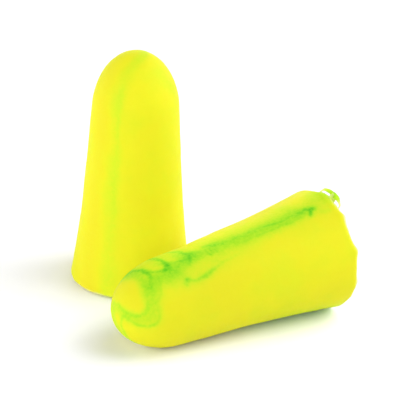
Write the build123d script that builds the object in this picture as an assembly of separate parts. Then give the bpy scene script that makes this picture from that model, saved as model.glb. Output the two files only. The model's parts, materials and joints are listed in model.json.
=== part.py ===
"""A pair of tapered foam ear plugs, one standing on its flat end and one lying on its side beside it.

Each plug is one piece of moulded foam: a domed nose that goes into the ear canal, a side that flares like a
bell, and a flat end with a rounded rim that a fingertip pushes. The two plugs are the same size.

Frame, in millimetres with +Z up: the origin is the centre of the upright plug's flat end, on the surface that
both plugs rest on. The lying plug points along X, with its nose towards -X and its flat end towards +X.
"""

import os
from math import atan, cos, degrees, radians, sin, sqrt

from build123d import *

# One plug
PLUG_LENGTH = 24.5  # from the tip of the nose to the flat end
NOSE_LENGTH = 6.25  # the domed nose is part of an ellipse of this half length
NOSE_RADIUS = 4.4  # and this half width
END_RADIUS = 6.1  # the flared end, over its rounded rim
RIM_ROUNDING = 0.55  # radius of the rim round the flat end

# The bell shape: the side's slope at each end, as a share of its mean slope
SLOPE_SHARE_AT_NOSE = 0.69
SLOPE_SHARE_AT_END = 1.74

# Where the lying plug lies, beside the upright one
LYING_TIP_X = -10.75
LYING_AXIS_Y = -14.53

# Worked out from those
MEAN_SLOPE = (END_RADIUS - NOSE_RADIUS) / (PLUG_LENGTH - NOSE_LENGTH)
SLOPE_AT_NOSE = SLOPE_SHARE_AT_NOSE * MEAN_SLOPE
SLOPE_AT_END = SLOPE_SHARE_AT_END * MEAN_SLOPE
NOSE_CENTRE_Z = PLUG_LENGTH - NOSE_LENGTH
RIM_CENTRE_RADIUS = END_RADIUS - RIM_ROUNDING

STEEPEST_TILT = 30.0  # degrees, more than such a plug ever tilts when it lies on its side
HALVINGS = 50  # enough to settle the tilt far below a micrometre


def plug():
    """One plug, standing on its flat end at the origin with its nose up."""
    nose_start = degrees(atan(SLOPE_AT_NOSE * NOSE_LENGTH / NOSE_RADIUS))
    rim_turn = 90 + degrees(atan(SLOPE_AT_END))
    with BuildPart() as body:
        with BuildSketch(Plane.XZ):
            with BuildLine():
                flat_end = Line((0, 0), (RIM_CENTRE_RADIUS, 0))
                rim = CenterArc((RIM_CENTRE_RADIUS, RIM_ROUNDING), RIM_ROUNDING, -90, rim_turn)
                nose = EllipticalCenterArc(
                    (0, NOSE_CENTRE_Z), NOSE_RADIUS, NOSE_LENGTH, nose_start, arc_size=90 - nose_start
                )
                Spline(rim @ 1, nose @ 0, tangents=[(-SLOPE_AT_END, 1), (-SLOPE_AT_NOSE, 1)])
                Line(nose @ 1, flat_end @ 0)
            make_face()
        revolve(axis=Axis.Z)
    return body.part


def nose_reach(tilt):
    """How far the nose reaches below the flat end's centre, square to a floor that the axis meets at tilt."""
    curve = sqrt((NOSE_RADIUS * cos(tilt)) ** 2 + (NOSE_LENGTH * sin(tilt)) ** 2)
    return NOSE_CENTRE_Z * sin(tilt) + curve


def rim_reach(tilt):
    """The same for the rim."""
    return RIM_CENTRE_RADIUS * cos(tilt) + RIM_ROUNDING * (1 + sin(tilt))


def resting_tilt():
    """The axis's tilt, in radians, when the plug lies on its nose and its rim."""
    low = 0.0
    high = radians(STEEPEST_TILT)
    for _ in range(HALVINGS):
        middle = (low + high) / 2
        if nose_reach(middle) < rim_reach(middle):
            low = middle
        else:
            high = middle
    return (low + high) / 2


def lying_place():
    """Where the lying plug's flat end goes, and the way that the plug is turned there."""
    tilt = resting_tilt()
    end_x = LYING_TIP_X + PLUG_LENGTH * cos(tilt)
    return Pos(end_x, LYING_AXIS_Y, rim_reach(tilt)) * Rot(0, -90 - degrees(tilt), 0)


os.makedirs("parts", exist_ok=True)
export_step(plug(), "parts/upright_plug.step")
export_step(lying_place() * plug(), "parts/lying_plug.step")
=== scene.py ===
"""The looks of a pair of tapered foam ear plugs, one standing and one lying beside it.

Each plug is yellow slow-recovery foam with green pigment stirred into it before it was moulded. The script
rebuilds each plug's skin over its CAD solid, ring by ring, and gives it what the moulding left: a slightly
uneven skin, a ragged rim, an end with open cells, and on the lying plug a curl of torn skin. The green runs
along flow lines, which are given in each plug's own skin coordinates.

Skin coordinates: the distance from the nose's tip, measured along the skin, and the azimuth about the plug's
axis. On both plugs azimuth 0 faces -Y. 90 faces +X on the upright plug, and up on the lying one.
A plug's own axes: the origin is its flat end's centre, X is azimuth 0, Y is azimuth 90 and Z is towards the
nose.
"""

import json
from math import atan, ceil, cos, pi, radians, sin

import bpy
import numpy as np
from mathutils import Matrix, Vector, noise


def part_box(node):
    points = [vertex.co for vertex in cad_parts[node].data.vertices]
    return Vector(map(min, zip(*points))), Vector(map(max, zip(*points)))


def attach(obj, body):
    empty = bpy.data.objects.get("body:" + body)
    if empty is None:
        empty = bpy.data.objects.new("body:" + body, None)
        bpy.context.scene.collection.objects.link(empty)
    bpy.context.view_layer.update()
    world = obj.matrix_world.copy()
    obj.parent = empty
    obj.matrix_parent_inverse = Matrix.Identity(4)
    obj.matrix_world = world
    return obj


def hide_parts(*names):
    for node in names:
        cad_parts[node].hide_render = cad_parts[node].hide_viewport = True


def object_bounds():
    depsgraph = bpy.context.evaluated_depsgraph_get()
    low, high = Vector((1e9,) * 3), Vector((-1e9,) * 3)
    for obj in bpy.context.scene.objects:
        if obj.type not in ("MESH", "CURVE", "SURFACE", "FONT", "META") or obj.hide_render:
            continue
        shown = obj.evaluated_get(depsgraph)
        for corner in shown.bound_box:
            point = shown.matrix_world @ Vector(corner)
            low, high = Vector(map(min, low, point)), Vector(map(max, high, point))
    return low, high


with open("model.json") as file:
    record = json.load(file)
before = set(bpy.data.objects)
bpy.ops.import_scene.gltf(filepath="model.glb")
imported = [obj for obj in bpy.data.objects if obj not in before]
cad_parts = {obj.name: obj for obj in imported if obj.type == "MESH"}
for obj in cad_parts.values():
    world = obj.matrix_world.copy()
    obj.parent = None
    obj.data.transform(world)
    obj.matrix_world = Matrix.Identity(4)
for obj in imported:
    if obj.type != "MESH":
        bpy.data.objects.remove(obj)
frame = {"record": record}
CAD_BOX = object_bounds()
CENTRE = (CAD_BOX[0] + CAD_BOX[1]) / 2

MM = 0.001

# ---------------------------------------------------------------- one plug's outline, as in the CAD model
UPRIGHT_LOW, UPRIGHT_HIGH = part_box("upright_plug")
PLUG_LENGTH = UPRIGHT_HIGH.z - UPRIGHT_LOW.z
END_RADIUS = (UPRIGHT_HIGH.x - UPRIGHT_LOW.x) / 2
NOSE_LENGTH = 6.25 * MM
NOSE_RADIUS = 4.4 * MM
RIM_ROUNDING = 0.55 * MM
SLOPE_SHARE_AT_NOSE = 0.69  # the side's slopes there, as shares of its mean slope
SLOPE_SHARE_AT_END = 1.74

# ---------------------------------------------------------------- the skin's mesh
SKIN_CELL = 0.11 * MM  # rings this far apart along the skin
RIM_CELL = 0.05 * MM  # and closer together round the rim
FINE_PAST_RIM = 4 * RIM_CELL  # the close rings go on this far over the flat end
FULL_COLUMNS = 320  # round the plug's widest part
FEWEST_COLUMNS = 10  # round the poles
NARROWEST_CELL = 0.06 * MM  # rings with narrower cells have half as many columns
CURVE_STEPS = 400  # points on each of the outline's four curves
FLOOR_GAP = 0.004 * MM  # the foam stays this far above the floor, and is flat where it touches

# ---------------------------------------------------------------- the skin's unevenness
SWELL = 0.05 * MM  # how far the skin wanders from the CAD outline
SWELL_SIZE = 4.5 * MM
DIMPLE = 0.012 * MM  # small dimples in the moulded skin
DIMPLE_SIZE = 1.1 * MM
CELL_SIZE = 0.42 * MM  # open cells on the flat end
CELL_DEPTH = 0.1 * MM
WALL_WIDTH = 0.35  # how wide a cell's wall is, as a share of the cell
WALL_PALENESS = 0.22  # as a share of the flash's
OCTAVES = (1.0, 2.0, 3)  # each of the noise's three octaves is half as strong and as large as the last
NOISE_STRIDE = (17.3, 5.9, 11.1)  # the next seed's noise lies this many features further on
CELL_STRIDE = (3.7, 8.3, 1.9)

# ---------------------------------------------------------------- the rims' unevenness
RIM_WAVE = 0.035 * MM  # how far a rim wanders all the way round
RIM_WAVE_SIZE = 1.6 * MM
RIM_LUMP_WIDTH = 0.45 * MM  # how wide its waves and lumps are along the skin
RIM_REACH = 3 * RIM_LUMP_WIDTH  # they have died away this far from the rim's middle
FLASH = 0.12 * MM  # how far the thin flash along the rim stands out
FLASH_WIDTH = 0.1 * MM
FLASH_SIZE = 0.9 * MM  # it comes and goes over this length
FLASH_SHARE = 0.15  # at -1 it is nowhere along the rim, and at 1 everywhere
PALE_WIDTH = 0.13 * MM  # the paler foam round it
PALE_LEAST = 0.3  # and how pale that is where there is no flash
# The lying plug's lumps and nicks: azimuth, half width (both degrees) and height in mm. The other has none.
LYING_RIM = [
    (108, 10, -0.08), (82, 11, 0.34), (65, 7, 0.1), (54, 5, 0.26),
    (35, 9, -0.14), (19, 6, 0.2), (-2, 8, -0.1), (-47, 14, -0.1),
]

# ---------------------------------------------------------------- the foam's material
# Shares of green pigment, and the foam's colour at each
FOAM_SHADES = [
    (0, (0.665, 0.605, 0.013)),
    (0.05, (0.648, 0.63, 0.012)),
    (0.14, (0.535, 0.65, 0.014)),
    (0.34, (0.36, 0.63, 0.012)),
    (0.64, (0.21, 0.57, 0.01)),
    (1, (0.09, 0.46, 0.007)),
]
FLASH_COLOR = (0.72, 0.74, 0.42, 1)
MOTTLE_SIZE = 0.3 * MM
MOTTLE_SPAN = (0.3, 0.7)  # the mottling's usual least and most
MOTTLED_GREEN = (0.7, 1.3)  # how many times as strong it makes the green, at its least and most
MOTTLED_ROUGHNESS = (0.58, 0.78)
CLOUD_SIZE = 3.5 * MM  # a trace of green comes and goes over this length
CLOUD_SPAN = (0.35, 0.7)
CLOUD_GREEN = (0.03, 0.085)
PORE_SIZE = 0.24 * MM  # cells that show through the skin
PORE_DEPTH = 0.035 * MM
PORE_STRENGTH = 0.35
FOAM_SPECULAR = 0.1
SUBSURFACE_WEIGHT = 0.3
SUBSURFACE_RADIUS = (1.0, 1.0, 0.25)
SUBSURFACE_SCALE = 0.9 * MM
MIX_SHARE = 0  # a Mix node's sockets for colours, which share their names with others
MIX_FIRST = 6
MIX_SECOND = 7
MIX_RESULT = 2

# ---------------------------------------------------------------- the camera, seen from the box's centre
AIM_OFFSET = Vector((-0.53, -3.2, 0)) * MM
CAMERA_DISTANCE = 227.7 * MM
CAMERA_AZIMUTH = -34.17  # degrees, 0 looks along +Y
CAMERA_ELEVATION = 23.28
CAMERA_ROLL = -2.49
CAMERA_LENS = 209.1  # mm
CAMERA_SENSOR = 36  # mm
CAMERA_NEAREST = 0.01  # m, and how far it sees
CAMERA_FARTHEST = 10

# ---------------------------------------------------------------- the studio
FLOOR_HALF = 1.5  # half its side
FLOOR_COLOR = (0.95, 0.95, 0.95, 1)
FLOOR_ROUGHNESS = 0.9
FLOOR_SPECULAR = 0.1
BACKDROP_RADIUS = 0.42
BACKDROP_HEIGHT = 0.5
BACKDROP_SIDES = 64
LAMP_SIZE = 0.45
LAMP_DISTANCE = 0.5
LAMP_COLOR = (0.99, 0.99, 1.05)  # a little cool
# Round softboxes: azimuth from the camera's right, towards the back, elevation (both degrees) and watts
LAMPS = [
    (0, 12, 0.35),
    (30, 18, 1.3),
    (90, 12, 1.5),
    (150, 12, 1.3),
    (210, 12, 1.3),
    (240, 12, 1.3),
    (270, 25, 0.55),
    (75, 42, 0.15),
    (0, 42, 1.15),
    (315, 42, 0.4),
    (0, 65, 0.9),
]
WORLD_STRENGTH = 0.03

# ---------------------------------------------------------------- how streaks spread in the foam
BELL_REACH = 2.2  # a streak is cut off this many of its greatest half widths outside the box round it
HALO_REACH = 2  # and its halo this many further, times the halo's strength
HALO_WIDTH = 2.8  # a line's faint halo, as shares of its width and strength
HALO_STRENGTH = 0.18
STREAK_SPACING = 0.4  # a streak's points are this share of its least half width apart
PAIRS_AT_ONCE = 2_000_000  # pairs of skin and streak points compared at once, to save memory
STIRRING = 0.13 * MM  # how far the streaks' edges wander
STIRRING_SIZE = 1.1 * MM

# ---------------------------------------------------------------- the green, as streaks in the foam
# Each streak: its route (mm along the skin from the tip, azimuth in degrees), half widths in mm, and
# strengths. The widths and the strengths are spread evenly along the route. Fills are soft, and lines have a
# halo. At strength 1 the foam is as green as it gets, and a negative strength takes green away.
LYING_FILLS = [
    # the long band from the nose to the flat end, and the soft green it ends in
    ([(6.2, 66), (7, 65), (7.8, 66), (8.6, 72), (9.6, 77), (10.6, 79)],
     [0.75, 0.8, 0.75, 0.6, 0.6], [0.33, 0.37, 0.4, 0.35, 0.28]),
    ([(10, 77), (11.5, 77.5), (13, 77), (16, 76.5), (20, 76.5), (23, 76)],
     [0.65, 0.65, 0.8, 0.8, 0.8, 0.7], [0.28, 0.28, 0.31, 0.28, 0.32, 0.32]),
    ([(20, 82), (24, 82), (26, 82), (27.4, 86)], [0.7, 1.2, 1.4, 1.4], [0.06, 0.12, 0.14, 0.12]),
    ([(9.3, 92), (10.1, 87), (11.2, 82)], [0.5, 0.6, 0.5], [0.18, 0.24, 0.24]),
    ([(27.4, 88), (29, 95), (31, 118)], [1.4, 1.1, 0.6], [0.13, 0.2, 0.05]),
    # the far side's band
    ([(7.2, 214), (9, 217), (12, 215), (16, 218), (20, 216), (24, 219), (27.4, 217)],
     [0.6, 0.8, 0.7, 0.6], [0.3, 0.36, 0.3, 0.28, 0.2]),
    # green underneath, towards the flat end, which tints the light on the floor
    ([(14, -96), (17, -90), (21, -87), (25, -86), (28, -88)],
     [1.6, 2.4, 2.6, 2.6], [0.03, 0.2, 0.36, 0.42, 0.4]),
    # a wide trace of green between the band and the streak beside it
    ([(5.5, 62), (8, 60), (11, 62), (15, 66), (22, 70)],
     [1.2, 1.6, 1.5, 1.2, 1.1], [0.04, 0.07, 0.07, 0.06, 0.04]),
    ([(4.6, 110), (7, 108), (10, 100), (14, 92), (22, 90)], [0.8, 1.2, 1.2, 1.0], [0.06, 0.1, 0.08, 0.06]),
    # the swirl round the tip, between its two lines
    ([(4.5, 165), (4.55, 140), (4.65, 120), (4.75, 104), (4.85, 88), (4.85, 74), (4.9, 60)],
     [0.65, 0.6, 0.5, 0.6], [0.2, 0.34, 0.26, 0.2, 0.17]),
    ([(6.8, 92), (7.4, 88), (7.7, 84)], [0.35], [0.1, 0.22]),
    ([(4.9, 64), (4.8, 50), (4.5, 36), (4.3, 24), (4.0, 15), (3.5, 11), (2.9, 12), (2.3, 20), (1.8, 31),
      (1.45, 44), (1.2, 65), (1.1, 100), (1.3, 140)],
     [0.65, 0.65, 0.65, 0.6, 0.55, 0.5, 0.5], [0.22, 0.2, 0.16, 0.15, 0.15, 0.15, 0.14]),
    # the soft green under the tip
    ([(0.7, 160), (0.5, 230), (0.9, 268), (1.6, 278), (2.6, 284), (3.6, 288)],
     [0.5, 0.45, 0.5, 0.4], [0.17, 0.18, 0.2, 0.1]),
]
LYING_LINES = [
    # the first ring over the nose, with its dark head
    ([(7.1, 185), (7.2, 160), (7.3, 140), (7.45, 125), (7.6, 108), (7.7, 97), (7.8, 89), (7.85, 82),
      (7.65, 76.5), (7.35, 74), (6.95, 74.5), (6.5, 78), (5.9, 88), (5.45, 103), (5.3, 125), (5.2, 150),
      (5.2, 180)],
     [0.32, 0.28, 0.28, 0.26, 0.26, 0.3, 0.27, 0.2, 0.18, 0.18, 0.2],
     [0.1, 0.3, 0.45, 0.5, 0.6, 0.95, 0.85, 0.45, 0.38, 0.34, 0.25, 0.1]),
    # the second ring, and the loop that it falls into
    ([(5.0, 128), (5.2, 112), (5.4, 100), (5.6, 89), (5.7, 80), (5.6, 73), (5.4, 66), (5.2, 59), (5.1, 53)],
     [0.18, 0.18, 0.22, 0.24, 0.22, 0.2, 0.18], [0.2, 0.35, 0.5, 0.88, 0.5, 0.3, 0.25, 0.1]),
    ([(4.4, 140), (4.6, 126), (5, 118)], [0.3, 0.3, 0.25], [0.2, 0.35, 0.25]),
    ([(6.1, 63), (5.95, 55), (5.7, 47), (5.3, 41), (4.9, 36)], [0.2], [0.1, 0.16, 0.14, 0.08]),
    # the two lines of the swirl
    ([(5, 28), (4.95, 18), (4.8, 10), (4.5, 4), (4, 0), (3.4, -2), (2.8, 0), (2.3, 6), (1.85, 17),
      (1.5, 30), (1.15, 30), (0.92, 10), (0.85, -15), (1.05, -40), (1.6, -58), (2.3, -68), (3.2, -74)],
     [0.2, 0.16, 0.15, 0.15], [0.1, 0.18, 0.25, 0.26, 0.26, 0.26, 0.24, 0.22, 0.28, 0.28]),
    ([(4.3, 60), (4.2, 48), (4.1, 39), (3.9, 30), (3.5, 24), (3, 22), (2.5, 25), (2, 34), (1.65, 48),
      (1.5, 65), (1.45, 90), (1.5, 125)],
     [0.24, 0.18, 0.17], [0.08, 0.14, 0.24, 0.27, 0.27, 0.2, 0.14]),
    # the hook behind the rings
    ([(9.2, 130), (9.4, 112), (9.6, 104), (9.95, 98), (10.2, 90), (10.35, 85), (10.25, 79.5), (9.95, 73),
      (9.7, 68)],
     [0.18, 0.2, 0.26, 0.28, 0.24], [0.1, 0.3, 0.38, 0.48, 0.52, 0.4, 0.2]),
    ([(9.9, 78), (9.5, 78.3), (9.1, 79.5), (8.6, 81), (8.2, 83.5)], [0.15], [0.3, 0.35, 0.3]),
    # the rings' far side
    ([(5.2, 180), (5.4, 198), (5.9, 211), (6.7, 219)], [0.18, 0.3, 0.5], [0.12, 0.35, 0.4, 0.15]),
    ([(7.1, 185), (7.3, 197), (7.8, 208), (8.8, 215), (10.5, 218), (13, 216), (16, 218), (19, 217)],
     [0.18, 0.3, 0.22, 0.18, 0.25, 0.2], [0.12, 0.3, 0.5, 0.3, 0.4, 0.2, 0.35, 0.1]),
    ([(9.2, 130), (9.3, 150), (9.8, 168), (10.6, 182), (11.8, 193), (13.5, 201), (15.5, 207)],
     [0.16, 0.3, 0.2], [0.1, 0.2, 0.25, 0.3, 0.15, 0]),
    # darker patches along the band, its lower edge, thin lines across it and its head
    ([(12.4, 87), (13, 84), (13.7, 82), (14.4, 80)], [0.28, 0.34, 0.26], [0.25, 0.42, 0.25]),
    ([(14.9, 79.5), (15.6, 80), (16.2, 79)], [0.26, 0.3, 0.24], [0.12, 0.27, 0.12]),
    ([(16.6, 78), (17.4, 79), (18.2, 79)], [0.24], [0.1, 0.25, 0.12]),
    ([(18.6, 78.5), (19.6, 77.5), (20.6, 76.5), (21.5, 76), (22.6, 76)],
     [0.2, 0.19, 0.16], [0.22, 0.38, 0.24, 0.06, 0.06]),
    ([(15.2, 70.5), (17, 70.5), (19, 70.5), (21, 70.5), (22.8, 70.5)], [0.14], [0.1, 0.2, 0.2, 0.2, 0.12]),
    ([(12.2, 81), (12.35, 70)], [0.08], [0.3]),
    ([(12.6, 81), (12.65, 71)], [0.08], [0.32]),
    ([(12.95, 81), (12.95, 72)], [0.08], [0.3]),
    ([(22.4, 76), (23, 77), (23.7, 77.5), (24.05, 76), (24.35, 75), (24.65, 74)],
     [0.22, 0.27, 0.25, 0.2], [0.12, 0.32, 0.55, 0.75, 0.85, 0.4]),
    ([(24.2, 75.5), (24, 72), (23.7, 68.5)], [0.18], [0.7, 0.85, 0.5]),
    ([(25, 67), (25.6, 65)], [0.3], [0.08]),
    # the short streak beside the band, and its faint tail
    ([(8.75, 51), (8.6, 47.5), (8.45, 43.5)], [0.18, 0.25, 0.2], [0.25, 0.42, 0.22]),
    ([(8.7, 49.5), (9.1, 48), (9.5, 46.5), (9.9, 45.5), (10.4, 46), (10.9, 47.5), (11.3, 48.8),
      (11.8, 50.5), (12.3, 53), (12.8, 55), (13.5, 56.3), (14.5, 57), (16, 58)],
     [0.17, 0.16, 0.18, 0.22, 0.2, 0.16, 0.14, 0.14], [0.36, 0.28, 0.3, 0.42, 0.38, 0.18, 0.1, 0.06, 0]),
    ([(12, 63), (12.5, 59.5), (12.9, 56)], [0.13], [0.04, 0.09, 0.06]),
]
UPRIGHT_FILLS = [
    # faint green from the tip down the near side, with warmer foam to its left
    ([(0.9, 90), (0.9, 0), (2, -40), (3, -51), (4.5, -57), (6, -57), (9, -59), (12, -57), (15, -60),
      (20, -57), (26.5, -56)],
     [0.6, 0.6, 0.7, 0.7, 0.6, 0.8, 1.0], [0.1, 0.09, 0.055, 0.045, 0.065, 0.05, 0.06, 0.05, 0.09]),
    ([(5, -54), (9, -54.5), (12, -52.5), (15, -54.5), (19, -53)],
     [0.3, 0.22, 0.4, 0.3], [0.03, 0.06, 0.03, 0.06, 0.03]),
    ([(3, -88), (8, -83), (14, -81), (20, -80), (26, -78)],
     [1.0, 1.2, 1.4], [-0.02, -0.055, -0.05, -0.055, -0.06]),
    # warmer foam low on the right, and faint green on the nose's right
    ([(16, 20), (21, 15), (26, 8)], [2.5, 3.0], [-0.01, -0.035, -0.045]),
    ([(3.4, 28), (4.5, 30), (6, 50), (8, 58), (12, 62)], [1, 1.1], [0.05, 0.08, 0.05, 0]),
    # the far side's band, as strong as the lying plug's
    ([(4.5, 152), (7, 147), (11, 151), (16, 147), (21, 151), (27, 148)],
     [0.5, 0.75, 0.7, 0.8], [0.2, 0.36, 0.3, 0.3, 0.22]),
    ([(27, 148), (29, 152), (31, 165)], [0.8, 0.6, 0.4], [0.22, 0.2, 0.05]),
]
UPRIGHT_LINES = [
    # two rings over the far side of the nose, and the darker middle of the far band
    ([(1.2, 110), (2.2, 140), (3.6, 158), (4.9, 160), (5.6, 152), (5.4, 143), (4.6, 140)],
     [0.18, 0.2, 0.24], [0.1, 0.35, 0.55, 0.3]),
    ([(4.2, 175), (5.4, 171), (6.4, 163), (7, 154), (6.8, 146)], [0.2, 0.24], [0.15, 0.4, 0.5, 0.3]),
    ([(7.5, 149), (10, 151.5), (13, 149), (16, 148), (19, 151), (22.5, 150)],
     [0.2, 0.16, 0.22], [0.2, 0.45, 0.25, 0.45, 0.2]),
]

# Painted light and shade, as streaks too: the foam's colour is made darker where the strength is positive,
# and lighter where it is negative
LYING_PAINTED_LIGHT = [
    # painted shade low on the lying plug's near side
    ([(6, 20), (10, 25), (15, 25), (22, 20)], [2, 2.6, 2.6, 2], [0.03, 0.08, 0.05, 0.01]),
    # a painted highlight along the lying plug's top
    ([(8, 108), (14, 106), (20, 106), (29, 106)], [1.8, 2.2], [-0.08, -0.15, -0.16, -0.16]),
]
UPRIGHT_PAINTED_LIGHT = [
    # painted light over the standing plug's near side
    ([(1, -34), (18, -34), (27, -34)], [12], [-0.04]),
    # painted light low on the standing plug's right, where light comes back off the lying plug
    ([(12, 10), (18, 10), (27, 10)], [4, 5, 5.5], [-0.02, -0.08, -0.08]),
    # a darker strip at the standing plug's left
    ([(4, -78), (9, -80), (16, -80), (26, -79)], [1.2, 1.4], [0.02, 0.05, 0.03, 0.03]),
]

# ---------------------------------------------------------------- the curl of torn skin on the lying rim
# Each part: its route, half widths in mm, how green it is, and half its thickness in mm. A route's points are
# azimuth in degrees, mm out beyond the flat end and mm out from the rim's radius.
CURL_PARTS = [
    # the arch that springs from the rim
    ([(93, -0.3, -0.2), (91.5, 0.1, 0.15), (89, 0.27, 0.28), (84.5, 0.42, 0.28), (79.5, 0.5, 0.2),
      (74, 0.52, 0.1), (68.5, 0.4, 0), (65, 0.18, -0.05), (63.5, -0.3, -0.3)],
     [0.07, 0.09, 0.14, 0.27, 0.34, 0.3, 0.15, 0.08, 0.07],
     [0.1, 0.15, 0.2, 0.3, 0.45, 0.3, 0.15, 0.1, 0.1], 0.06),
    # the thin web that still ties it to the rim
    ([(76, -0.2, -0.2), (76.5, 0.1, 0), (77, 0.3, 0.1), (77.5, 0.5, 0.12)],
     [0.5, 0.45, 0.42, 0.4], [0.19], 0.03),
]
CURL_FACING = 25  # degrees, the azimuth that the torn skin lies open to
CURL_RAGGEDNESS = 0.25  # of its edges, as a share of its width
CURL_RAG_SIZE = 0.5 * MM
CURL_PALE_BELOW = 0.25  # less green than this is paler
CURL_SIDES = 14
CURL_STEPS = 8


# ================================================================ outlines
def plug_outline():
    """Skin distance, height over the flat end and radius, from the nose's tip to the flat end's centre."""
    mean_slope = (END_RADIUS - NOSE_RADIUS) / (PLUG_LENGTH - NOSE_LENGTH)
    slope_at_nose = SLOPE_SHARE_AT_NOSE * mean_slope
    slope_at_end = SLOPE_SHARE_AT_END * mean_slope

    nose_turn = np.linspace(pi / 2, atan(slope_at_nose * NOSE_LENGTH / NOSE_RADIUS), CURVE_STEPS)
    nose_height = PLUG_LENGTH - NOSE_LENGTH + NOSE_LENGTH * np.sin(nose_turn)
    nose_radius = NOSE_RADIUS * np.cos(nose_turn)

    rim_turn = np.linspace(atan(slope_at_end), -pi / 2, CURVE_STEPS)
    rim_height = RIM_ROUNDING * (1 + np.sin(rim_turn))
    rim_radius = END_RADIUS - RIM_ROUNDING * (1 - np.cos(rim_turn))

    share = np.linspace(0, 1, CURVE_STEPS)
    span = nose_height[-1] - rim_height[0]
    side_height = nose_height[-1] - span * share
    side_radius = (
        nose_radius[-1] * (1 - 3 * share**2 + 2 * share**3)
        + rim_radius[0] * (3 * share**2 - 2 * share**3)
        + slope_at_nose * span * (share - 2 * share**2 + share**3)
        + slope_at_end * span * (share**3 - share**2)
    )

    end_radius = np.linspace(rim_radius[-1], 0, CURVE_STEPS)
    height = np.concatenate([nose_height, side_height[1:], rim_height[1:], np.zeros(CURVE_STEPS - 1)])
    radius = np.concatenate([nose_radius, side_radius[1:], rim_radius[1:], end_radius[1:]])
    skin = np.concatenate([[0], np.cumsum(np.hypot(np.diff(height), np.diff(radius)))])
    return skin, height, radius


OUTLINE_SKIN, OUTLINE_HEIGHT, OUTLINE_RADIUS = plug_outline()
RIM_START = OUTLINE_SKIN[2 * (CURVE_STEPS - 1)]
RIM_END = OUTLINE_SKIN[3 * (CURVE_STEPS - 1)]
SKIN_TOTAL = OUTLINE_SKIN[-1]
EDGE = (RIM_START + RIM_END) / 2  # the middle of the rim's rounding


def height_at(skin):
    """The outline's height over the flat end at those skin distances."""
    return np.interp(skin, OUTLINE_SKIN, OUTLINE_HEIGHT)


def radius_at(skin):
    """The outline's radius there."""
    return np.interp(skin, OUTLINE_SKIN, OUTLINE_RADIUS)


def on_skin(skin, azimuth):
    """Points on a plug's ideal skin, in the plug's own axes."""
    radius = radius_at(skin)
    return np.stack([radius * np.cos(azimuth), radius * np.sin(azimuth), height_at(skin)], -1)


def outward(skin, azimuth):
    """The ideal skin's outward directions at those points."""
    before = np.maximum(skin - RIM_CELL, 0)
    after = np.minimum(skin + RIM_CELL, SKIN_TOTAL)
    drop = height_at(before) - height_at(after)
    widening = radius_at(after) - radius_at(before)
    length = np.hypot(drop, widening)
    return np.stack([drop * np.cos(azimuth), drop * np.sin(azimuth), widening], -1) / length[:, None]


# ================================================================ noise
def noise_at(points, size, seed):
    """Smooth noise from about -1 to 1, with features of that size, at each point."""
    shift = Vector([seed * stride for stride in NOISE_STRIDE])
    return np.array([noise.fractal(Vector(point) / size + shift, *OCTAVES) for point in points])


def cell_walls(points, size, seed):
    """0 in the middle of a foam cell and 1 on its walls, at each point."""
    shift = Vector([seed * stride for stride in CELL_STRIDE])
    walls = []
    for point in points:
        near = noise.voronoi(Vector(point) / size + shift)[0]
        walls.append(1 - min(1, (near[1] - near[0]) / WALL_WIDTH))
    return np.array(walls)


# ================================================================ smooth curves
def neighbours(values):
    """Each two neighbouring rows of values, with the row before them and the row after them."""
    values = np.array(values, float)
    padded = np.vstack([2 * values[0] - values[1], values, 2 * values[-1] - values[-2]])
    return zip(padded, padded[1:], padded[2:], padded[3:])


def smooth_span(before, start, end, after, share):
    """A Catmull-Rom curve from the start to the end, at those shares of the way."""
    return 0.5 * (
        2 * start
        + (end - before) * share
        + (2 * before - 5 * start + 4 * end - after) * share**2
        + (3 * start - before - 3 * end + after) * share**3
    )


def smooth_through(values, steps):
    """A smooth curve through rows of values, with so many steps between two of them."""
    share = np.arange(steps)[:, None] / steps
    spans = [smooth_span(*rows, share) for rows in neighbours(values)]
    return np.vstack(spans + [values[-1]])


def spread(values, along):
    """Values spread evenly over a length, read at places along it from 0 to 1."""
    return np.interp(along, np.linspace(0, 1, len(values)), values)


# ================================================================ the streaks' field
def streak_curve(route, spacing):
    """A smooth line through a route's skin coordinates, as points on the skin, and how far along each one is.

    The route is laid on a flat map round the tip, so that a line may pass right over it.
    """
    flat = [(mm * cos(radians(turn)), mm * sin(radians(turn))) for mm, turn in route]
    spans = []
    alongs = []
    for index, (before, start, end, after) in enumerate(neighbours(flat)):
        steps = ceil(np.linalg.norm(end - start) / spacing) + 1
        share = np.linspace(0, 1, steps)[:, None]
        spans.append(smooth_span(before, start, end, after, share))
        alongs.append((index + share[:, 0]) / (len(route) - 1))
    line = np.vstack(spans)
    points = on_skin(np.hypot(line[:, 0], line[:, 1]) * MM, np.arctan2(line[:, 1], line[:, 0]))
    return points, np.concatenate(alongs)


def tint_at(points, streaks, halo):
    """How far the streaks tint each point: 1 at the most, and below 0 where their strengths are negative.

    A streak's profile is a bell, with a fainter and wider one round it. Where two streaks meet, each tints
    what the other leaves.
    """
    clear = np.ones(len(points))
    for route, widths, strengths in streaks:
        curve, along = streak_curve(route, STREAK_SPACING * min(widths))
        width = spread(widths, along) * MM
        strength = spread(strengths, along)
        reach = (BELL_REACH + HALO_REACH * halo) * width.max()
        near = np.where(((points > curve.min(0) - reach) & (points < curve.max(0) + reach)).all(1))[0]
        for chunk in np.array_split(near, max(1, len(near) * len(curve) // PAIRS_AT_ONCE)):
            gap = np.linalg.norm(points[chunk, None, :] - curve[None, :, :], axis=2) / width
            bell = np.exp(-(gap**2)) + halo * np.exp(-((gap / HALO_WIDTH) ** 2))
            tint = strength / (1 + halo) * bell
            clear[chunk] *= 1 - np.maximum(tint.max(1), 0) - np.minimum(tint.min(1), 0)
    return 1 - clear


# ================================================================ the skin's grid
def ring_columns(radius):
    """How many columns a ring of that radius has: the full number, halved while its cells are too narrow."""
    columns = FULL_COLUMNS
    while columns > FEWEST_COLUMNS and 2 * pi * radius / columns < NARROWEST_CELL:
        columns //= 2
    return columns


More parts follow.
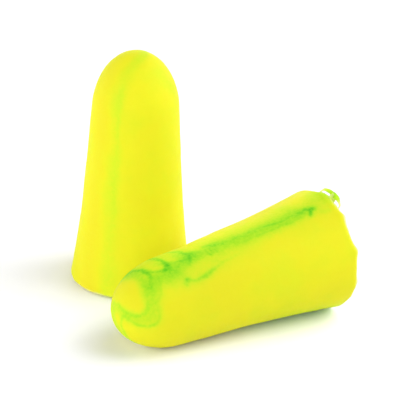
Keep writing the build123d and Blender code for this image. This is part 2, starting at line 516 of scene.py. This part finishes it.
def skin_rows():
    """Skin distances of the rings, closer together round the rim, without the two poles."""
    side = np.arange(SKIN_CELL, RIM_START - SKIN_CELL, SKIN_CELL)
    rim = np.arange(RIM_START - RIM_CELL, RIM_END + FINE_PAST_RIM, RIM_CELL)
    end = np.arange(rim[-1] + SKIN_CELL, SKIN_TOTAL - SKIN_CELL / 2, SKIN_CELL)
    return np.concatenate([side, rim, end])


def ring_faces(upper, above, lower, below):
    """Faces between two rings that start at those vertices.

    They have as many columns as each other, or one has twice as many.
    """
    faces = []
    fewer = min(above, below)
    for j in range(fewer):
        following = (j + 1) % fewer
        middle = 2 * j + 1
        after = (2 * j + 2) % (2 * fewer)
        if above == below:
            faces.append((upper + j, lower + j, lower + following, upper + following))
        elif above > below:
            faces.append((upper + 2 * j, lower + j, upper + middle))
            faces.append((upper + middle, lower + j, lower + following, upper + after))
        else:
            faces.append((upper + j, lower + 2 * j, lower + middle))
            faces.append((upper + j, lower + middle, lower + after, upper + following))
    return faces


def skin_grid():
    """Skin coordinates of every vertex, and the faces between the rings and at the two poles."""
    rows = skin_rows()
    counts = [ring_columns(radius_at(row)) for row in rows]
    starts = np.concatenate([[1], 1 + np.cumsum(counts)]).tolist()
    skin = np.concatenate([[0], np.repeat(rows, counts), [SKIN_TOTAL]])
    azimuth = np.concatenate([[0]] + [np.arange(count) * 2 * pi / count for count in counts] + [[0]])

    faces = [(0, 1 + j, 1 + (j + 1) % counts[0]) for j in range(counts[0])]
    for upper, lower, above, below in zip(starts, starts[1:], counts, counts[1:]):
        faces += ring_faces(upper, above, lower, below)
    last, centre = starts[-2:]
    faces += [(last + j, centre, last + (j + 1) % counts[-1]) for j in range(counts[-1])]
    return skin, azimuth, faces


# ================================================================ pieces
def add_object(name, data):
    """An object with that data, in the scene."""
    added = bpy.data.objects.new(name, data)
    bpy.context.scene.collection.objects.link(added)
    return added


def foam_piece(name, points, faces, layers, material):
    """A smooth mesh that carries how green and how thin the foam is at each vertex, and its painted light and
    shade.
    """
    mesh = bpy.data.meshes.new(name)
    mesh.from_pydata(points.tolist(), [], faces)
    mesh.polygons.foreach_set("use_smooth", np.ones(len(mesh.polygons), bool))
    for kind, values in layers.items():
        layer = mesh.attributes.new(kind, "FLOAT", "POINT")
        layer.data.foreach_set("value", values.astype(np.float32))
    mesh.materials.append(material)
    mesh.update()
    return add_object(name, mesh)


def placed(points, place):
    """Points in a plug's own axes, put where the CAD model has that plug."""
    return points @ np.array(place.to_3x3()).T + np.array(place.translation)


def plug_place(mount_name):
    """The matrix that puts a plug's own axes where the CAD model has that flat end."""
    end = next(mount for mount in frame["record"]["mounts"] if mount["name"] == mount_name)
    nose_way = -Vector(end["axis"]).normalized()
    near_side = Vector((0, -1, 0))
    place = Matrix((near_side, nose_way.cross(near_side), nose_way)).transposed().to_4x4()
    place.translation = Vector(end["pos_m"])
    return place


# ================================================================ the plugs
def rim_shift(skin, azimuth, ideal, lumps, seed):
    """How far the rim's lumps, nicks and flash stand out, and how much of each point is thin flash."""
    degrees_round = np.degrees(azimuth)
    height = RIM_WAVE * noise_at(ideal * (1, 1, 0), RIM_WAVE_SIZE, seed)
    for centre, half_width, lump in lumps:
        turn = (degrees_round - centre + 180) % 360 - 180
        height += lump * MM * np.exp(-((turn / half_width) ** 2))
    wide = height * np.exp(-(((skin - EDGE) / RIM_LUMP_WIDTH) ** 2))
    ragged = np.clip(noise_at(ideal * (1, 1, 0), FLASH_SIZE, seed + 1) + FLASH_SHARE, 0, 1)
    flash = ragged * np.exp(-(((skin - EDGE) / FLASH_WIDTH) ** 2))
    pale = np.clip(ragged + PALE_LEAST, 0, 1) * np.exp(-(((skin - EDGE) / PALE_WIDTH) ** 2))
    return wide + FLASH * flash, pale


def plug_piece(name, place, seed, fills, lines, painted_light_streaks, lumps, material):
    """A plug's skin with its unevenness, its green and its painted light and shade, put where the CAD model
    has it.
    """
    skin, azimuth, faces = skin_grid()
    ideal = on_skin(skin, azimuth)
    near_rim = np.abs(skin - EDGE) < RIM_REACH
    on_end = skin > RIM_END

    push = SWELL * noise_at(ideal, SWELL_SIZE, seed) + DIMPLE * noise_at(ideal, DIMPLE_SIZE, seed + 1)
    flash = np.zeros(len(skin))
    shift, flash[near_rim] = rim_shift(skin[near_rim], azimuth[near_rim], ideal[near_rim], lumps, seed + 2)
    push[near_rim] += shift
    walls = cell_walls(ideal[on_end], CELL_SIZE, seed)
    push[on_end] -= CELL_DEPTH * (1 - walls)
    flash[on_end] = np.maximum(flash[on_end], WALL_PALENESS * walls)
    points = placed(ideal + outward(skin, azimuth) * push[:, None], place)
    points[:, 2] = np.maximum(points[:, 2], FLOOR_GAP)

    warp = np.stack([noise_at(ideal, STIRRING_SIZE, seed + offset) for offset in (4, 5, 6)], -1)
    stirred = ideal + STIRRING * warp
    green = 1 - (1 - tint_at(stirred, fills, 0)) * (1 - tint_at(stirred, lines, HALO_STRENGTH))
    # painted light and shade: a brightness that the foam's colour is multiplied by
    painted_light_and_shade = 1 - tint_at(stirred, painted_light_streaks, 0)
    return foam_piece(name, points, faces, {"green": green, "flash": flash, "painted_light_and_shade": painted_light_and_shade}, material)


# ================================================================ the curl of torn skin
def ribbon(route, widths, greens, thickness, seed):
    """A flat tube along a route, closed at both ends: its vertices, how green they are, and its faces."""
    line = smooth_through(route, CURL_STEPS)
    azimuth = np.radians(line[:, 0])
    reach = END_RADIUS + line[:, 2] * MM
    path = np.stack([reach * np.cos(azimuth), reach * np.sin(azimuth), -line[:, 1] * MM], -1)
    along = np.gradient(path, axis=0)
    along /= np.linalg.norm(along, axis=1)[:, None]
    across = np.cross(along, (cos(radians(CURL_FACING)), sin(radians(CURL_FACING)), 0))
    across /= np.linalg.norm(across, axis=1)[:, None]
    facing = np.cross(across, along)
    share = np.linspace(0, 1, len(path))
    width = spread(widths, share) * MM
    width *= 1 + CURL_RAGGEDNESS * noise_at(path, CURL_RAG_SIZE, seed)

    rings = []
    for turn in np.arange(CURL_SIDES) * 2 * pi / CURL_SIDES:
        rings.append(path + across * (width * cos(turn))[:, None] + facing * thickness * MM * sin(turn))
    points = np.vstack([np.stack(rings, 1).reshape(-1, 3), path[:1], path[-1:]])
    green = np.concatenate([np.repeat(spread(greens, share), CURL_SIDES), [greens[0], greens[-1]]])
    first, last = len(points) - 2, len(points) - 1
    faces = []
    for row in range(0, first - CURL_SIDES, CURL_SIDES):
        for j in range(CURL_SIDES):
            after = (j + 1) % CURL_SIDES
            faces.append((row + j, row + after, row + CURL_SIDES + after, row + CURL_SIDES + j))
    row = first - CURL_SIDES
    for j in range(CURL_SIDES):
        after = (j + 1) % CURL_SIDES
        faces.append((first, after, j))
        faces.append((last, row + j, row + after))
    return points, green, faces


def curl_piece(name, place, seed, material):
    """The torn skin, which is palest where it has the least green."""
    points = np.empty((0, 3))
    green = np.empty(0)
    faces = []
    for index, part in enumerate(CURL_PARTS):
        part_points, part_green, part_faces = ribbon(*part, seed + index)
        faces += [tuple(len(points) + corner for corner in face) for face in part_faces]
        points = np.vstack([points, part_points])
        green = np.concatenate([green, part_green])
    flash = np.clip(1 - green / CURL_PALE_BELOW, 0, 1)
    layers = {"green": green, "flash": flash, "painted_light_and_shade": np.ones(len(points))}
    return foam_piece(name, placed(points, place), faces, layers, material)


# ================================================================ materials
def new_material(name):
    """A material and its Principled shader."""
    material = bpy.data.materials.new(name)
    material.use_nodes = True
    return material, material.node_tree.nodes["Principled BSDF"]


def add_node(tree, kind, inputs=(), **settings):
    """A node of that kind, with those settings and values on its inputs."""
    node = tree.nodes.new(kind)
    for key, value in settings.items():
        setattr(node, key, value)
    for key, value in dict(inputs).items():
        node.inputs[key].default_value = value
    return node


def texture(tree, kind, size, **inputs):
    """A texture in the object's own space, with features of that size."""
    place = add_node(tree, "ShaderNodeTexCoord")
    node = add_node(tree, kind, {"Scale": 1 / size, **inputs})
    tree.links.new(place.outputs["Object"], node.inputs["Vector"])
    return node


def layer_value(tree, name):
    """What one of the mesh's layers says, as a socket."""
    return add_node(tree, "ShaderNodeAttribute", attribute_name=name).outputs["Fac"]


def combined(tree, operation, first, second):
    """The sum or product of two sockets, as a socket."""
    node = add_node(tree, "ShaderNodeMath", operation=operation)
    tree.links.new(first, node.inputs[0])
    tree.links.new(second, node.inputs[1])
    return node.outputs["Value"]


def stretched(tree, value, span, target):
    """A socket whose value runs over the target's span while the given one's runs over its own."""
    ends = {"From Min": span[0], "From Max": span[1], "To Min": target[0], "To Max": target[1]}
    node = add_node(tree, "ShaderNodeMapRange", ends)
    tree.links.new(value, node.inputs["Value"])
    return node.outputs["Result"]


def foam_color(tree, mottle):
    """Yellow foam with the streaks' green and the clouds' trace of it, made lighter and darker by painted
    light and shade, and paler where it is thin.
    """
    breaking = stretched(tree, mottle, MOTTLE_SPAN, MOTTLED_GREEN)
    green = combined(tree, "MULTIPLY", layer_value(tree, "green"), breaking)
    clouds = texture(tree, "ShaderNodeTexNoise", CLOUD_SIZE, Detail=4.0, Roughness=0.55)
    trace = stretched(tree, clouds.outputs["Fac"], CLOUD_SPAN, CLOUD_GREEN)
    shades = add_node(tree, "ShaderNodeValToRGB")
    ends = shades.color_ramp.elements[:]
    for element, (position, color) in zip(ends, (FOAM_SHADES[0], FOAM_SHADES[-1])):
        element.position = position
        element.color = (*color, 1)
    for position, color in FOAM_SHADES[1:-1]:
        shades.color_ramp.elements.new(position).color = (*color, 1)
    tree.links.new(combined(tree, "ADD", green, trace), shades.inputs["Fac"])

    # the foam's colour times its painted light and shade
    lit_and_shaded = add_node(tree, "ShaderNodeVectorMath", operation="SCALE")
    tree.links.new(shades.outputs["Color"], lit_and_shaded.inputs[0])
    tree.links.new(layer_value(tree, "painted_light_and_shade"), lit_and_shaded.inputs["Scale"])
    pale = add_node(tree, "ShaderNodeMix", {MIX_SECOND: FLASH_COLOR}, data_type="RGBA")
    tree.links.new(layer_value(tree, "flash"), pale.inputs[MIX_SHARE])
    tree.links.new(lit_and_shaded.outputs["Vector"], pale.inputs[MIX_FIRST])
    return pale.outputs[MIX_RESULT]


def foam_relief(tree, mottle):
    """The fine cells under the skin, as a normal."""
    pores = texture(tree, "ShaderNodeTexVoronoi", PORE_SIZE)
    bump = add_node(tree, "ShaderNodeBump", {"Strength": PORE_STRENGTH, "Distance": PORE_DEPTH})
    tree.links.new(combined(tree, "ADD", pores.outputs["Distance"], mottle), bump.inputs["Height"])
    return bump.outputs["Normal"]


def foam_material():
    """Soft yellow foam, which light goes a little way into, with fine mottling in its green and its sheen."""
    material, shader = new_material("foam")
    tree = material.node_tree
    mottle = texture(tree, "ShaderNodeTexNoise", MOTTLE_SIZE, Detail=3.0, Roughness=0.6).outputs["Fac"]
    tree.links.new(foam_color(tree, mottle), shader.inputs["Base Color"])
    tree.links.new(foam_relief(tree, mottle), shader.inputs["Normal"])
    roughness = stretched(tree, mottle, MOTTLE_SPAN, MOTTLED_ROUGHNESS)
    tree.links.new(roughness, shader.inputs["Roughness"])
    shader.inputs["Specular IOR Level"].default_value = FOAM_SPECULAR
    shader.inputs["Subsurface Weight"].default_value = SUBSURFACE_WEIGHT
    shader.inputs["Subsurface Radius"].default_value = SUBSURFACE_RADIUS
    shader.inputs["Subsurface Scale"].default_value = SUBSURFACE_SCALE
    return material


# ================================================================ the studio
def level_directions():
    """To the camera's right and away from it, both level."""
    azimuth = radians(CAMERA_AZIMUTH)
    return Vector((cos(azimuth), sin(azimuth), 0)), Vector((-sin(azimuth), cos(azimuth), 0))


def make_camera():
    """A long lens that looks down at the pair, with its roll."""
    level, away = level_directions()
    elevation = radians(CAMERA_ELEVATION)
    roll = radians(CAMERA_ROLL)
    back = -away * cos(elevation) + Vector((0, 0, sin(elevation)))
    upward = back.cross(level)
    right = level * cos(roll) - upward * sin(roll)
    up = level * sin(roll) + upward * cos(roll)
    data = bpy.data.cameras.new("camera")
    data.sensor_width = CAMERA_SENSOR
    data.lens = CAMERA_LENS
    data.clip_start = CAMERA_NEAREST
    data.clip_end = CAMERA_FARTHEST
    camera = add_object("camera", data)
    turn = Matrix((right, up, back)).transposed().to_4x4()
    camera.matrix_world = Matrix.Translation(CENTRE + AIM_OFFSET + back * CAMERA_DISTANCE) @ turn
    bpy.context.scene.camera = camera


def make_floor():
    """A plain white floor."""
    mesh = bpy.data.meshes.new("floor")
    corners = [(x * FLOOR_HALF, y * FLOOR_HALF, 0) for x, y in ((-1, -1), (1, -1), (1, 1), (-1, 1))]
    mesh.from_pydata(corners, [], [(0, 1, 2, 3)])
    material, shader = new_material("white_floor")
    shader.inputs["Base Color"].default_value = FLOOR_COLOR
    shader.inputs["Roughness"].default_value = FLOOR_ROUGHNESS
    shader.inputs["Specular IOR Level"].default_value = FLOOR_SPECULAR
    mesh.materials.append(material)
    add_object("floor", mesh)


def make_backdrop():
    """A white wall round the pair, for low views. It is only seen, and neither lights nor shades anything."""
    turns = np.arange(BACKDROP_SIDES) * 2 * pi / BACKDROP_SIDES
    points = []
    for height in (0, BACKDROP_HEIGHT):
        points += [(BACKDROP_RADIUS * cos(turn), BACKDROP_RADIUS * sin(turn), height) for turn in turns]
    following = [(k + 1) % BACKDROP_SIDES for k in range(BACKDROP_SIDES)]
    faces = [(k, BACKDROP_SIDES + k, BACKDROP_SIDES + after, after) for k, after in enumerate(following)]
    mesh = bpy.data.meshes.new("backdrop")
    mesh.from_pydata(points, [], faces)
    material, shader = new_material("white_backdrop")
    shader.inputs["Emission Color"].default_value = (1, 1, 1, 1)
    shader.inputs["Emission Strength"].default_value = 1
    mesh.materials.append(material)
    wall = add_object("backdrop", mesh)
    wall.visible_diffuse = False
    wall.visible_glossy = False
    wall.visible_transmission = False
    wall.visible_shadow = False


def make_lamps():
    """Round softboxes that face the pair, and a faint even light from all round."""
    right, away = level_directions()
    for azimuth, elevation, watts in LAMPS:
        turn = radians(azimuth)
        rise = radians(elevation)
        way = (right * cos(turn) + away * sin(turn)) * cos(rise) + Vector((0, 0, sin(rise)))
        data = bpy.data.lights.new(f"softbox_{azimuth}_{elevation}", "AREA")
        data.shape = "DISK"
        data.size = LAMP_SIZE
        data.energy = watts
        data.color = LAMP_COLOR
        lamp = add_object(data.name, data)
        facing = way.to_track_quat("Z", "Y").to_matrix().to_4x4()
        lamp.matrix_world = Matrix.Translation(CENTRE + LAMP_DISTANCE * way) @ facing
    world = bpy.data.worlds.new("studio")
    world.use_nodes = True
    world.node_tree.nodes["Background"].inputs["Strength"].default_value = WORLD_STRENGTH
    bpy.context.scene.world = world


make_camera()
make_floor()
make_backdrop()
make_lamps()
bpy.context.scene.view_settings.view_transform = "Standard"

foam = foam_material()
for node, seed, fills, lines, painted_light_streaks, lumps in (
    ("upright_plug", 1, UPRIGHT_FILLS, UPRIGHT_LINES, UPRIGHT_PAINTED_LIGHT, []),
    ("lying_plug", 21, LYING_FILLS, LYING_LINES, LYING_PAINTED_LIGHT, LYING_RIM),
):
    place = plug_place(node.replace("plug", "flat_end"))
    piece = plug_piece(node + "_foam", place, seed, fills, lines, painted_light_streaks, lumps, foam)
    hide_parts(node)
    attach(piece, node)
curl = curl_piece("torn_skin_curl", plug_place("lying_flat_end"), seed=41, material=foam)
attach(curl, "lying_plug")
